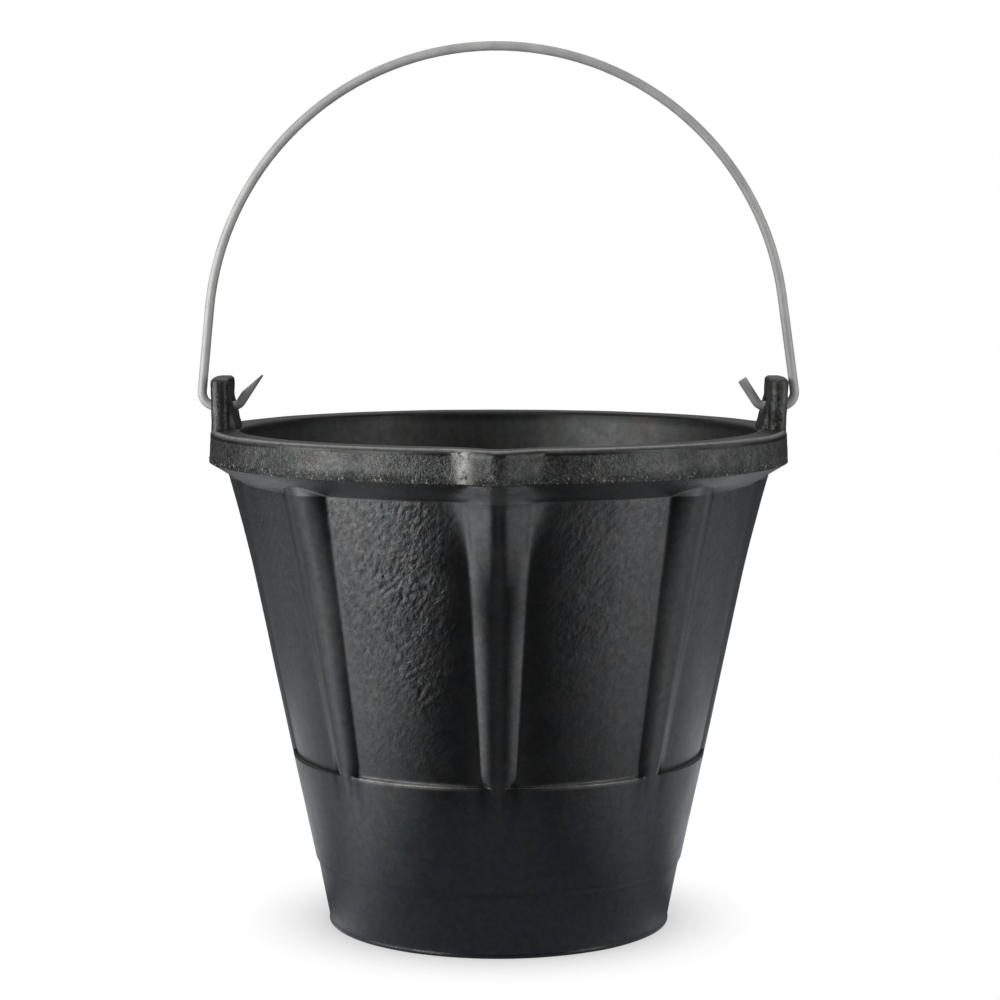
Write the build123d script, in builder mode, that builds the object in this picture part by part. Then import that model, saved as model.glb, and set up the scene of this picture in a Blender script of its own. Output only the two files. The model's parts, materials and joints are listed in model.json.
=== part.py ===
from build123d import *
from math import cos, radians, sin, sqrt, tan
import os

# A farm bucket moulded in one piece of rubber, with a wire bail that swings in its two ears.
# Millimetres, +Z up, origin on the floor under the middle of the base.
# The spout points along -Y and the ears stand at the two ends of the X axis.

# Bucket, main sizes
rim_diameter = 340.4        # widest, at the lower edge of the rim
height = 293.5              # floor to the crest of the rim
base_diameter = 201.0       # foot at the floor
wall = 5.5                  # between the ribs
base_thickness = 8.0
base_inner_round = 12.0     # inside corner between wall and base

# Rim
rim_depth = 19.0            # height of its outer face
rim_underside = 11.0        # height of the slope below it
rim_draft = 1.0             # the face leans in by this much towards the crest
rim_overhang = 13.6         # reach of the rim past the cone of the band
rim_round_outer = 5.0
rim_round_inner = 6.0
rim_edge_round = 0.8

# Foot, smooth band and recessed panels
foot_draft = 11.0           # degrees from upright
foot_height = 36.0
foot_inset = 1.6            # the foot stands back this far from the band
foot_step = 3.0             # height of the sloped step between foot and band
foot_lip = 0.8              # thin lip around the floor edge
foot_lip_height = 1.4
foot_ring = 18.0            # width of the ring that the bucket stands on
underside_recess = 2.0
skin_round = 1.0            # small edges of the outside
band_top = 102.0
band_ledge = 1.4            # height of the sloped ledge on top of the band
panel_recess_bottom = 2.6   # behind the cone of the band
panel_recess_top = 4.8

# Ribs
rib_count = 8
rib_crown_bottom = 12.5     # width of the crown at the band
rib_crown_top = 9.0         # and under the rim
rib_width_bottom = 19.0     # across both flanks where they meet the panels
rib_width_top = 35.4
rib_round = 4.0
rib_flare = 2.3             # crown past the cone of the band, under the rim
rib_flare_length = 63.0     # height over which the crown flares out
rib_flare_steps = 3
rib_proud = 0.6             # crown past the band's upper edge
rib_sink = 0.3              # crown behind the band at the end of its tail
rib_tail = 34.0             # length of the tail on the band
rib_root = 2.0              # how far its root is let into the wall

# Spout
spout_reach = 17.0          # nose past the rim at the crest
spout_rake = 1.5            # the nose leans back by this much over the rim's depth
spout_step = 3.0            # and stands back by this much under the rim's lower edge
spout_throat = 12.5         # nose past the rib crown at the top of the panels
spout_drop = 90.0           # crest to the point where the nose has sunk into its rib
spout_slope = 0.8           # depth of a flank for each millimetre of its width
spout_round = 8.0           # nose, seen from above
spout_lip = 11.0            # from the nose to the pouring channel behind it
channel_round = 6.0         # bottom of the channel, seen from above

# Ears
ear_height = 29.7           # above the rim crest
ear_width = 48.0            # along the rim
ear_thickness = 10.5
ear_inset = 1.4             # outer face, behind the rim's lower edge
ear_round = 4.5
ear_top_round = 2.5
buttress_width = 24.0
buttress_foot = 16.6        # thickness of ear and buttress together at the crest
buttress_drop = 4.5         # its top, below the ear's top
buttress_round = 3.0

# Bail and its holes
wire_diameter = 5.5
hole_clearance = 0.65       # around the wire
hole_mouth_round = 2.2
pivot_height = 12.5         # above the rim crest
bail_height = 210.0         # pivots to the centreline of the arch
bail_lean_left = 5.6        # degrees that each leg leans in, as bent by hand
bail_lean_right = 8.0
leg_gap = 4.1               # between the wire and the ear, at the height of the pivots
hook_radius = 8.0           # centreline of the bend outside each ear
end_angle = 57.0            # degrees that the turned-up ends rise
end_radius = 6.0            # centreline of the bend inside each ear
end_standoff = 1.7          # from the buttress to the corner of that bend
end_length_left = 23.0      # along the wire from that corner
end_length_right = 18.5
end_bevel = 15.0            # length of the slanted cut on the left end
end_tip = 1.0               # thickness left at its point

rim_r = rim_diameter / 2
base_r = base_diameter / 2
rim_bottom = height - rim_depth
panel_top = rim_bottom - rim_underside
band_bottom = foot_height + foot_step
foot_top_r = base_r + foot_height * tan(radians(foot_draft))
neck_r = rim_r - rim_overhang


def skin(z):
    # radius of the cone that the band and the rib crowns lie on
    low = foot_top_r + foot_inset
    return low + (neck_r - low) * (z - band_bottom) / (panel_top - band_bottom)


def grade(z, at_band, at_rim):
    # a size that changes evenly from the band's upper edge to the top of the panels
    return at_band + (at_rim - at_band) * (z - band_top) / (panel_top - band_top)


def panel(z):
    # radius of the recessed panels between the ribs
    return skin(z) - grade(z, panel_recess_bottom, panel_recess_top)


def inside(z):
    return panel(z) - wall


# Body of revolution: foot, band, panels, rim and the hollow inside
with BuildPart() as shell:
    with BuildSketch(Plane.XZ):
        with BuildLine():
            outline = [
                ((0, underside_recess), 0),
                ((base_r - foot_ring, underside_recess), skin_round),
                ((base_r - foot_ring + underside_recess, 0), 0),
                ((base_r + foot_lip, 0), 0),
                ((base_r + foot_lip, foot_lip_height), 0),
                ((base_r + 2 * foot_lip_height * tan(radians(foot_draft)), 2 * foot_lip_height), 0),
                ((foot_top_r, foot_height), skin_round),
                ((skin(band_bottom), band_bottom), skin_round),
                ((skin(band_top), band_top), skin_round),
                ((panel(band_top + band_ledge), band_top + band_ledge), skin_round / 2),
                ((panel(panel_top), panel_top), skin_round),
                ((rim_r, rim_bottom), rim_edge_round),
                ((rim_r - rim_draft, height), rim_round_outer),
                ((inside(height), height), rim_round_inner),
                ((inside(base_thickness), base_thickness), base_inner_round),
                ((0, base_thickness), 0),
            ]
            points = [point for point, _ in outline]
            rounds = [radius for _, radius in outline]
            FilletPolyline(*points, radius=rounds, close=True)
        make_face()
    revolve(axis=Axis.Z)

# One rib, on +X: a tapering bar that flares out under the rim and sinks into the band
rib_stations = [(panel_top + rib_root, rib_flare)]
for step in range(1, rib_flare_steps + 1):
    share = step / rib_flare_steps
    rib_stations.append((panel_top - rib_flare_length * share, rib_flare * (1 - share) ** 2))
rib_stations += [(band_top, rib_proud), (band_top - rib_tail, -rib_sink)]

with BuildPart() as rib:
    for z, proud in rib_stations:
        crown_x = skin(z) + proud
        half_crown = grade(z, rib_crown_bottom, rib_crown_top) / 2
        half_width = grade(z, rib_width_bottom, rib_width_top) / 2
        root_x = sqrt(panel(z) ** 2 - half_width**2)
        run = (half_width - half_crown) / (crown_x - root_x)
        with BuildSketch(Plane.XY.offset(z)):
            with BuildLine():
                FilletPolyline(
                    (root_x - rib_root, -half_width - run * rib_root),
                    (crown_x, -half_crown),
                    (crown_x, half_crown),
                    (root_x - rib_root, half_width + run * rib_root),
                    radius=[0, rib_round, rib_round, 0],
                    close=True,
                )
            make_face()
    loft(ruled=True)


def wedge(z, tip_r, back_r, tip_round):
    # a level V that points along -Y, with a rounded tip
    half_back = (tip_r - back_r) / spout_slope
    with BuildSketch(Plane.XY.offset(z)) as outline:
        with BuildLine():
            FilletPolyline(
                (half_back, -back_r),
                (-half_back, -back_r),
                (0, -tip_r),
                radius=[0, 0, tip_round],
                close=True,
            )
        make_face()
    return outline.sketch


# Nose line below the rim: height and distance from the axis, before its round
spout_end = height - spout_drop
beak_bottom = rim_r + spout_reach - spout_rake
nose_line = [
    (spout_end, skin(spout_end) - rib_proud),
    (panel_top, skin(panel_top) + rib_flare + spout_throat),
    (rim_bottom, beak_bottom - spout_step),
]

# Outside of the spout: a beak across the rim, drawn in below it to the front rib
with BuildPart() as spout:
    for z, tip_r in [(rim_bottom, beak_bottom), (height, rim_r + spout_reach)]:
        add(wedge(z, tip_r, inside(z) + rim_round_inner, spout_round))
    loft(ruled=True)
    fillet(faces().sort_by(Axis.Z)[-1].edges().sort_by(Axis.Y)[:-1], rim_round_outer)
    for z, tip_r in nose_line:
        add(wedge(z, tip_r, inside(z) + wall / 2, spout_round))
    loft(ruled=True)

# Pouring channel behind it: follows the nose line, then runs upright to a flare at the crest
channel_r = beak_bottom - spout_step
channel_line = list(nose_line)
for angle in (0, 45, 90):
    up = rim_round_inner * sin(radians(angle))
    out = rim_round_inner * (1 - cos(radians(angle)))
    channel_line.append((height - rim_round_inner + up, channel_r + out))
channel_line.append((height + rim_round_inner, channel_r + rim_round_inner))

with BuildPart() as channel:
    for z, tip_r in channel_line:
        add(wedge(z, tip_r - spout_lip, inside(z) - spout_lip, channel_round))
    loft(ruled=True)

# One ear, on +X: a curved plate on the rim, a sloped buttress inside it and the hole for the wire
ear_outer = rim_r - ear_inset
ear_inner = ear_outer - ear_thickness
ear_top = height + ear_height
ear_bottom = height - rim_round_inner
buttress_x = ear_outer - buttress_foot
buttress_top = ear_top - buttress_drop
buttress_lean = (ear_inner - buttress_x) / (buttress_top - height)
pivot_z = height + pivot_height
wire_r = wire_diameter / 2
hole_r = wire_r + hole_clearance

with BuildPart() as buttress:
    with BuildSketch(Plane.XZ):
        with BuildLine():
            Polyline(
                (ear_outer - ear_thickness / 2, ear_bottom),
                (buttress_x, ear_bottom),
                (buttress_x, height),
                (ear_inner, buttress_top),
                (ear_outer - ear_thickness / 2, buttress_top),
                close=True,
            )
        make_face()
    extrude(amount=buttress_width / 2, both=True)
    inner_edges = edges().filter_by(Axis.Y, reverse=True).filter_by(lambda edge: edge.center().X < ear_inner)
    fillet(inner_edges, buttress_round)

with BuildPart() as ear:
    with BuildSketch(Plane.XY.offset(ear_bottom)):
        Circle(ear_outer)
        Circle(ear_inner, mode=Mode.SUBTRACT)
        with Locations((ear_outer, 0)):
            Rectangle(ear_outer, ear_width, mode=Mode.INTERSECT)
        fillet(vertices(), ear_round)
    extrude(amount=ear_top - ear_bottom)
    fillet(faces().sort_by(Axis.Z)[-1].edges(), ear_top_round)
    add(buttress.part)
    with Locations((ear_outer, 0, pivot_z)):
        Cylinder(hole_r, 2 * buttress_foot + ear_width, rotation=(0, 90, 0), mode=Mode.SUBTRACT)
    hole = faces().filter_by(GeomType.CYLINDER).sort_by(lambda face: abs(face.radius - hole_r))[0]
    fillet(hole.edges().filter_by(lambda edge: edge.is_closed), hole_mouth_round)

# Bucket: the shell with its ribs, spout and ears, moulded as one
with BuildPart() as bucket:
    add(shell.part)
    with PolarLocations(0, rib_count, start_angle=-90):
        add(rib.part)
    add(spout.part)
    add(channel.part, mode=Mode.SUBTRACT)
    with PolarLocations(0, 2):
        add(ear.part)

# Bail: one wire with an arch, two leaning legs, hooks through the ears and turned-up ends
half_span = ear_outer + leg_gap + wire_r
lean_left = radians(bail_lean_left)
lean_right = radians(bail_lean_right)
lean_sum = tan(lean_left) + tan(lean_right)
peak_height = 2 * half_span / lean_sum
peak_x = -half_span + peak_height * tan(lean_left)
arch_radius = (2 * half_span - bail_height * lean_sum) / (1 / cos(lean_left) + 1 / cos(lean_right) - lean_sum)
corner_x = buttress_x + buttress_lean * pivot_height - end_standoff
rise = Vector(cos(radians(end_angle)), 0, sin(radians(end_angle)))
left_corner = Vector(-corner_x, 0, pivot_z)
left_tip = left_corner + rise * end_length_left

with BuildPart() as bail:
    with BuildLine(Plane.XZ) as route:
        FilletPolyline(
            (left_tip.X, left_tip.Z),
            (-corner_x, pivot_z),
            (-half_span, pivot_z),
            (peak_x, pivot_z + peak_height),
            (half_span, pivot_z),
            (corner_x, pivot_z),
            (corner_x - rise.X * end_length_right, pivot_z + rise.Z * end_length_right),
            radius=[end_radius, hook_radius, arch_radius, hook_radius, end_radius],
        )
    with BuildSketch(Plane(origin=route.line @ 0, z_dir=route.line % 0)):
        Circle(wire_r)
    sweep()
    # the left end is cut at a slant, to a point on its inner side
    side = Vector(-rise.Z, 0, rise.X)
    bevel = [
        left_tip - rise * end_bevel + side * wire_r,
        left_tip - side * (wire_r - end_tip),
        left_tip + rise * wire_r - side * (wire_r - end_tip),
        left_tip + rise * wire_r + side * wire_diameter,
        left_tip - rise * end_bevel + side * wire_diameter,
    ]
    with BuildSketch(Plane.XZ):
        with BuildLine():
            Polyline(*[(point.X, point.Z) for point in bevel], close=True)
        make_face()
    extrude(amount=wire_diameter, both=True, mode=Mode.SUBTRACT)

bucket.part.label = "bucket"
bail.part.label = "bail"

os.makedirs("parts", exist_ok=True)
export_step(bucket.part, "parts/bucket.step")
export_step(bail.part, "parts/bail.step")
print("arch radius", round(arch_radius, 1), "inside at crest", round(inside(height), 1))
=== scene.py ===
import json
import math

import bmesh
import bpy
import numpy as np
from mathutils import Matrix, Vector, noise

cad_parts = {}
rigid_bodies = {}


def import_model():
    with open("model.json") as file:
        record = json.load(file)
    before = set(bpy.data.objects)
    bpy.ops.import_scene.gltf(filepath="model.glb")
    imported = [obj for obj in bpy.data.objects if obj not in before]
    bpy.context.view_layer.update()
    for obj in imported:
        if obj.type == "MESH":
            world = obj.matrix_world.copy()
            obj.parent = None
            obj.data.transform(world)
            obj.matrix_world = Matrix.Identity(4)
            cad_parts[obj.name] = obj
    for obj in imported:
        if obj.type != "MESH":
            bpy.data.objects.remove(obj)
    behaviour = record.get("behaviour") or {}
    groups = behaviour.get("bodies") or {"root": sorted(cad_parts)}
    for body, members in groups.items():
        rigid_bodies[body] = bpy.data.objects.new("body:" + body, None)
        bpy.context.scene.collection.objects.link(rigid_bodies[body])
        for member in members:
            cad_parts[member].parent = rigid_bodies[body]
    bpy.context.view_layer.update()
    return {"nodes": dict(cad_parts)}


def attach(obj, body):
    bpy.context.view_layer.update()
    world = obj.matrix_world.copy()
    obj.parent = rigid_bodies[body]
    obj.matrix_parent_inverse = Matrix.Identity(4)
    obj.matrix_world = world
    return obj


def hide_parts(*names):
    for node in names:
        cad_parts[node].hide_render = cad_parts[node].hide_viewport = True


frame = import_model()
print("frame loaded with", ", ".join(sorted(frame["nodes"])))


# bucket

bucketBody = {
    "rimRadius": 0.1702,
    "rimDepth": 0.019,
    "rimDraft": 0.001,
    "rimUnderside": 0.011,
    "height": 0.2935,
    "neckRadius": 0.1566,  # cone of the band, carried up to the top of the panels
    "bandRadius": 0.1091,
    "bandBottom": 0.039,
    "bandTop": 0.102,
    "bandLedge": 0.0003,
    "panelRecess": (0.0026, 0.0048),  # at the band and under the rim
    "baseRadius": 0.1005,
    "footHeight": 0.036,
    "footTopRadius": 0.1075,
    "footLip": 0.0008,
    "lipHeight": 0.0014,
    "lipRunOut": (0.00055, 0.0028),  # how far past the foot it ends, and how high up
    "footRing": 0.018,
    "undersideRecess": 0.002,
    "wall": 0.0055,
    "floorThickness": 0.008,
    "hubRadius": 0.012,  # of the one flat face round the axis, under the floor and on it
    "columnSteps": (7, 12, 41),  # mesh steps over half a rib's crown, its flank and half a panel
}
edgeRounds = {
    "ring": (0.001, 0.0008),  # inside and outside of the ring that it stands on
    "footLip": (0.0004, 0.0003),
    "footTop": 0.001,
    "bandBottom": 0.001,
    "ledge": (0.0014, 0.0003),  # its edge and its root
    "neck": 0.0007,
    "rimEdge": 0.0008,
    "crest": (0.0034, 0.0028),  # outside and at the mouth
    "floor": 0.012,
}
outerRibs = {
    "count": 8,
    "crownWidth": (0.0125, 0.009),  # at the band and under the rim
    "fullWidth": (0.019, 0.0354),
    "proud": 0.0007,
    "sink": 0.0003,
    "tail": 0.034,
    "shoulder": 0.009,  # height over which a rib narrows down to its tail
    "narrowing": 0.18,
    "flare": 0.0023,
    "flareLength": 0.063,
    "roundness": 2.2,  # of its section, from 1 for a ridge upwards
    "rootRound": (0.0004, 0.0018),  # towards the spout and away from it
    "rootFade": (0.05, 0.004),  # radians off a rib and metres under the rim over which that changes
    "crownDepth": 0.002,  # over the panel, from which a point counts as on the crown
}
pouringSpout = {
    "reach": 0.017,
    "rake": 0.0015,
    "step": 0.003,
    "throat": 0.0109,
    "drop": 0.09,
    "slope": 0.8,
    "noseRound": 0.0095,
    "kinkRound": 0.004,  # where the nose turns in to the rim
    "lip": 0.011,
    "lipInset": 0.0004,
    "edgeRound": 0.0007,
    "flareBlend": (0.0022, 0.004),  # how softly the nose runs out into the panels and into its rib
    "blendEnds": (0.008, 0.035),  # heights over which that fades, at the rim and lower down
    "channelRound": 0.003,
    "channelTop": 0.007,  # below the crest, whose own edge follows the channel
}

rimBottom = bucketBody["height"] - bucketBody["rimDepth"]
panelTop = rimBottom - bucketBody["rimUnderside"]
spoutEnd = bucketBody["height"] - pouringSpout["drop"]
ribPitch = 2 * math.pi / outerRibs["count"]
frontTurn = 1.0  # radians to either side of the spout that count as the front
deepInside = 0.05  # a radius that every wall is outside of
rimGap = 0.0001  # between the wall's last row and the rim's edge


def ramp(value, start, length):
    return np.clip((value - start) / length, 0, 1)


def bump(value, middle, width):
    return np.exp(-(((value - middle) / width) ** 2))


def skinRadius(z):
    share = (z - bucketBody["bandBottom"]) / (panelTop - bucketBody["bandBottom"])
    return bucketBody["bandRadius"] + (bucketBody["neckRadius"] - bucketBody["bandRadius"]) * share


def gradeUp(z, pair):
    # evenly from the band's edge to the top of the panels
    return pair[0] + (pair[1] - pair[0]) * (z - bucketBody["bandTop"]) / (panelTop - bucketBody["bandTop"])


def panelRadius(z):
    return skinRadius(z) - gradeUp(z, bucketBody["panelRecess"])


def insideRadius(z):
    return panelRadius(z) - bucketBody["wall"]


def softMax(a, b, soft):
    return (a + b + np.sqrt((a - b) ** 2 + soft**2)) / 2


def ribFold(turn):
    # angle off the middle of the nearest rib
    return np.abs((turn + ribPitch / 2) % ribPitch - ribPitch / 2)


def pastRib(turn):
    # the same, but below 0 on the side that faces the spout
    return np.abs(turn) - ribPitch * np.round(np.abs(turn) / ribPitch)


def ribRadius(turn, z):
    fold = ribFold(turn)
    ledge, sink = bucketBody["bandTop"], outerRibs["sink"]
    flareStart = panelTop - outerRibs["flareLength"]
    tailEnd = ledge - outerRibs["tail"]
    # the tails stand out most on the ribs at the front
    lift = outerRibs["proud"] * (1 + np.clip(np.cos(turn), 0, 1)) + sink
    proud = lift * np.interp(z, [tailEnd, ledge, flareStart], [0, 1, 0])
    proud = proud - sink * np.interp(z, [ledge, flareStart], [1, 0])
    proud = proud + outerRibs["flare"] * np.clip((z - flareStart) / outerRibs["flareLength"], 0, 1.05) ** 2
    crown = skinRadius(z) + proud
    narrowed = outerRibs["narrowing"] * (1 - ramp(z, ledge, outerRibs["shoulder"])) ** 2
    halfWidth = gradeUp(z, outerRibs["fullWidth"]) / 2 * (1 - narrowed)
    depth = crown - np.sqrt(panelRadius(z) ** 2 - halfWidth**2)
    rib = crown / np.cos(fold)
    for _ in range(5):
        across = np.minimum(rib * np.sin(fold) / halfWidth, 3)
        rib = (crown - depth * across ** outerRibs["roundness"]) / np.cos(fold)
    return np.where(z > tailEnd, rib, deepInside)


def wedgeRadius(turn, tip):
    # a V that points to the front, with its tip rounded off
    slope, nose = pouringSpout["slope"], pouringSpout["noseRound"]
    lean = math.atan(slope)
    side = tip / (np.cos(turn) + slope * np.abs(np.sin(turn)))
    across = np.abs(side * np.sin(turn))
    onTip = tip - nose / math.cos(lean) + np.sqrt(np.maximum(nose**2 - across**2, 0))
    radius = np.where(across < nose * math.sin(lean), np.hypot(across, onTip), side)
    return np.where(np.abs(turn) < frontTurn, radius, deepInside)


beakBottom = bucketBody["rimRadius"] + pouringSpout["reach"] - pouringSpout["rake"]
noseHeights = [spoutEnd, panelTop, rimBottom]
noseReach = [
    skinRadius(spoutEnd) - outerRibs["proud"],
    skinRadius(panelTop) + outerRibs["flare"] + pouringSpout["throat"],
    beakBottom - pouringSpout["step"],
]


def noseTip(z):
    # the kink at the top of the panels is rounded off
    shifts = np.linspace(-pouringSpout["kinkRound"], pouringSpout["kinkRound"], 9)
    return sum(np.interp(z + shift, noseHeights, noseReach) for shift in shifts) / len(shifts)


def noseRadius(turn, z, back=0.0):
    return wedgeRadius(turn, noseTip(z) - back)


def wedgeEdge(tip, wall):
    # the angle at which a side of the V meets a round wall
    slope = pouringSpout["slope"]
    return math.atan(slope) - np.arccos(np.clip(tip / (wall * math.hypot(1, slope)), -1, 1))


def columnTurns(heights):
    # columns follow the edges of the ribs and of the spout, which keeps those edges crisp
    heights = np.atleast_1d(heights)
    z = np.clip(heights, bucketBody["bandTop"] - outerRibs["tail"], panelTop)
    crownEdge = np.arctan2(gradeUp(z, outerRibs["crownWidth"]) / 2, skinRadius(z))
    rootEdge = np.arcsin(gradeUp(z, outerRibs["fullWidth"]) / 2 / panelRadius(z))
    noseEdge = wedgeEdge(noseTip(z), panelRadius(z))
    noseEdge = np.where(z > spoutEnd, np.maximum(rootEdge, noseEdge), rootEdge)
    beakShare = ramp(heights, panelTop, rimBottom - panelTop)
    noseEdge = noseEdge + (wedgeEdge(beakBottom, bucketBody["rimRadius"]) - noseEdge) * beakShare
    counts = np.cumsum((0,) + bucketBody["columnSteps"])
    steps = np.arange(counts[-1] + 1)

    def halfRib(root):
        return np.array([np.interp(steps, counts, (0, c, r, ribPitch / 2)) for c, r in zip(crownEdge, root)])

    plain, front = halfRib(rootEdge), halfRib(noseEdge)
    turns = [-math.pi + plain[:, :-1]]
    for rib in range(1 - outerRibs["count"] // 2, outerRibs["count"] // 2):
        half = front if rib == 0 else plain
        turns += [rib * ribPitch - half[:, :0:-1], rib * ribPitch + half[:, :-1]]
    return np.concatenate(turns + [math.pi - plain[:, :0:-1]], axis=1)


def cornerArc(before, here, after, radius):
    # points of a true arc between the two runs that meet here
    if radius == 0:
        return [here]
    back, ahead = before - here, after - here
    backLength = np.linalg.norm(back, axis=1, keepdims=True)
    aheadLength = np.linalg.norm(ahead, axis=1, keepdims=True)
    back, ahead = back / backLength, ahead / aheadLength
    half = np.arccos(np.clip((back * ahead).sum(axis=1, keepdims=True), -1, 1)) / 2
    # less than half of either run, so that arcs never meet
    reach = np.minimum(radius / np.tan(half), 0.48 * np.minimum(backLength, aheadLength))
    start, end = here + back * reach, here + ahead * reach
    arc = []
    for t in np.linspace(0, 1, 7 if radius >= 0.004 else 4):
        pull = 2 * t * (1 - t) * np.sin(half)
        arc.append(((1 - t) ** 2 * start + pull * here + t**2 * end) / ((1 - t) ** 2 + pull + t**2))
    return arc


def roundedRows(corners):
    # corners are (r, z, radius, points on the run that follows)
    count = 2 * outerRibs["count"] * sum(bucketBody["columnSteps"])
    spots = [
        np.stack([np.broadcast_to(r, count), np.broadcast_to(z, count)], axis=1)
        for r, z, _, _ in corners
    ]
    arcs = [[spots[0]]]
    for before, here, after, corner in zip(spots, spots[1:], spots[2:], corners[1:]):
        arcs.append(cornerArc(before, here, after, corner[2]))
    arcs.append([spots[-1]])
    rows = []
    for arc, following, corner in zip(arcs, arcs[1:], corners):
        start, end, steps = arc[-1], following[0], corner[3]
        rows += arc + [start + (end - start) * k / (steps + 1) for k in range(1, steps + 1)]
    return np.array(rows + arcs[-1])


def bucketOutline():
    # from the middle of the underside, up the outside, over the rim and down to the middle of the floor
    size, rounds = bucketBody, edgeRounds
    top, ledge = size["height"], size["bandTop"]
    floor, recess = size["floorThickness"], size["undersideRecess"]
    edge, channel, lip = pouringSpout["edgeRound"], pouringSpout["channelRound"], pouringSpout["lip"]
    rimTurn = columnTurns(rimBottom)[0]
    beakTop = beakBottom + pouringSpout["rake"]
    lipInner = softMax(size["rimRadius"] - pouringSpout["lipInset"], noseRadius(rimTurn, rimBottom), edge)
    lipOuter = softMax(size["rimRadius"], wedgeRadius(rimTurn, beakBottom), edge)
    crestOuter = softMax(size["rimRadius"] - size["rimDraft"], wedgeRadius(rimTurn, beakTop), edge)
    crestInner = softMax(insideRadius(top), noseRadius(rimTurn, rimBottom, lip), channel)
    ringRadius = size["baseRadius"] - size["footRing"]
    lipRadius = size["baseRadius"] + size["footLip"]
    lipPast, lipEnd = size["lipRunOut"]
    aboveLedge = ledge + size["bandLedge"]
    return [
        (size["hubRadius"], recess, 0, 7),
        (ringRadius, recess, rounds["ring"][0], 1),
        (ringRadius + recess, 0.0, rounds["ring"][1], 4),
        (lipRadius, 0.0, rounds["footLip"][0], 1),
        (lipRadius, size["lipHeight"], rounds["footLip"][1], 1),
        (size["baseRadius"] + lipPast, lipEnd, 0, 14),
        (size["footTopRadius"], size["footHeight"], rounds["footTop"], 1),
        (size["bandRadius"], size["bandBottom"], rounds["bandBottom"], 40),
        (skinRadius(ledge), ledge, rounds["ledge"][0], 1),
        (panelRadius(aboveLedge), aboveLedge, rounds["ledge"][1], 140),
        (panelRadius(panelTop), panelTop, rounds["neck"], 12),
        (lipInner, rimBottom - rimGap, 0, 1),
        (lipOuter, rimBottom, rounds["rimEdge"], 12),
        (crestOuter, top, rounds["crest"][0], 4),
        (crestInner, top, rounds["crest"][1], 10),
        (insideRadius(rimBottom), rimBottom, 0, 40),
        (insideRadius(spoutEnd), spoutEnd, 0, 26),
        (insideRadius(floor), floor, rounds["floor"], 8),
        (size["hubRadius"], floor, 0, 0),
    ]


def bucketRows():
    # the turned outline, with the ribs and the nose grown out of it and the channel hollowed into it
    rows = roundedRows(bucketOutline())
    radius, z = rows[:, :, 0], rows[:, :, 1]
    turn = columnTurns(z.mean(axis=1))
    outside = np.zeros_like(radius, dtype=bool)
    outside[: int(np.argmax(z.mean(axis=1)))] = True

    past, under = outerRibs["rootFade"]
    away = ramp(pastRib(turn), 0, past) * (np.abs(turn) > ribPitch / 2) * ramp(panelTop - z, 0, under)
    near, far = outerRibs["rootRound"]
    ribbed = softMax(radius, ribRadius(turn, z), near + (far - near) * away)

    edge, channel, lip = pouringSpout["edgeRound"], pouringSpout["channelRound"], pouringSpout["lip"]
    onRib = ramp(ribbed, panelRadius(z), outerRibs["crownDepth"])
    onPanel, onCrown = pouringSpout["flareBlend"]
    upper, lower = pouringSpout["blendEnds"]
    soften = ramp(rimBottom - z, 0, upper) * ramp(z, spoutEnd, lower)
    nosed = softMax(ribbed, noseRadius(turn, z), edge + soften * (onPanel + (onCrown - onPanel) * onRib))
    ribbed = np.where(z > spoutEnd, nosed, ribbed)
    channelled = softMax(radius, noseRadius(turn, z, lip), channel)

    walls = outside & (z > bucketBody["bandBottom"]) & (z < rimBottom - 2 * rimGap)
    inner = ~outside & (z < bucketBody["height"] - pouringSpout["channelTop"]) & (z > spoutEnd)
    radius = np.where(walls, ribbed, np.where(inner, channelled, radius))
    return turn, radius, z, outside


def closedGrid(name, spots):
    # rows of a turned shape, joined all round and closed at both ends
    rowCount, columnCount = spots.shape[:2]
    index = np.arange(rowCount * columnCount).reshape(rowCount, columnCount)
    beside = np.roll(index, -1, axis=1)
    quads = np.stack([index[:-1], beside[:-1], beside[1:], index[1:]], axis=-1).reshape(-1, 4)
    faces = quads.tolist() + [index[0][::-1].tolist(), index[-1].tolist()]
    mesh = bpy.data.meshes.new(name)
    mesh.from_pydata(spots.reshape(-1, 3).tolist(), [], faces)
    mesh.polygons.foreach_set("use_smooth", [True] * len(mesh.polygons))
    mesh.update()
    piece = bpy.data.objects.new(name, mesh)
    bpy.context.scene.collection.objects.link(piece)
    return piece


surfaceRelief = {
    "seed": 11.0,
    "panelCrinkle": (0.45, 0.25, 0.35, 0.5, 0.4, 0.35, 0.3, 1.0),  # from the spout round to the right
    "crinkleDepth": 0.0004,
    "crinkleSize": (0.0038, 0.0085),  # across and along the creases
    "crinkleLean": 42,  # degrees
    "crinkleWarp": (2.2, 3.0),  # how far they wander and how often, in creases
    "crinkleRise": (0.12, 0.07, 0.3),  # height where they come up, over how much, and their least share
    "crinkleEdge": (0.1, 0.045),  # radians off a rib where they start, and over how much they come up
    "crinkleFront": (0.12, 0.2),  # the same beside the front rib
    "crinkleClimb": (1.3, 0.0015),  # their share at a rib's root, and the metres out from it that take off 1
    "crinkleLedge": (0.003, 0.01),  # metres over the band where they start, and over how much they come up
    "crinkleTop": 0.002,  # metres under the rim over which they end
    "patchSize": 0.03,
    "patchLevels": (0.75, 1.6, 0.2),  # share of the creases, how much it varies, and the noise's low end
    "patchRange": (0.85, 1.4),
    "rolledRadius": 0.145,  # of the wall when it is rolled out flat
    "lumpDepth": 0.00045,
    "lumpSize": 0.028,
    "lumpShare": 0.25,  # of the lumps where there are no creases
    "rimDepth": 0.00022,
    "rimSize": 0.0045,
    "flashDepth": 0.0005,
    "flashSize": 0.0022,
    "flashWidth": 0.003,
    "flashCut": 0.9,  # how much of the noise is cut away between the crumbs
}
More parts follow.
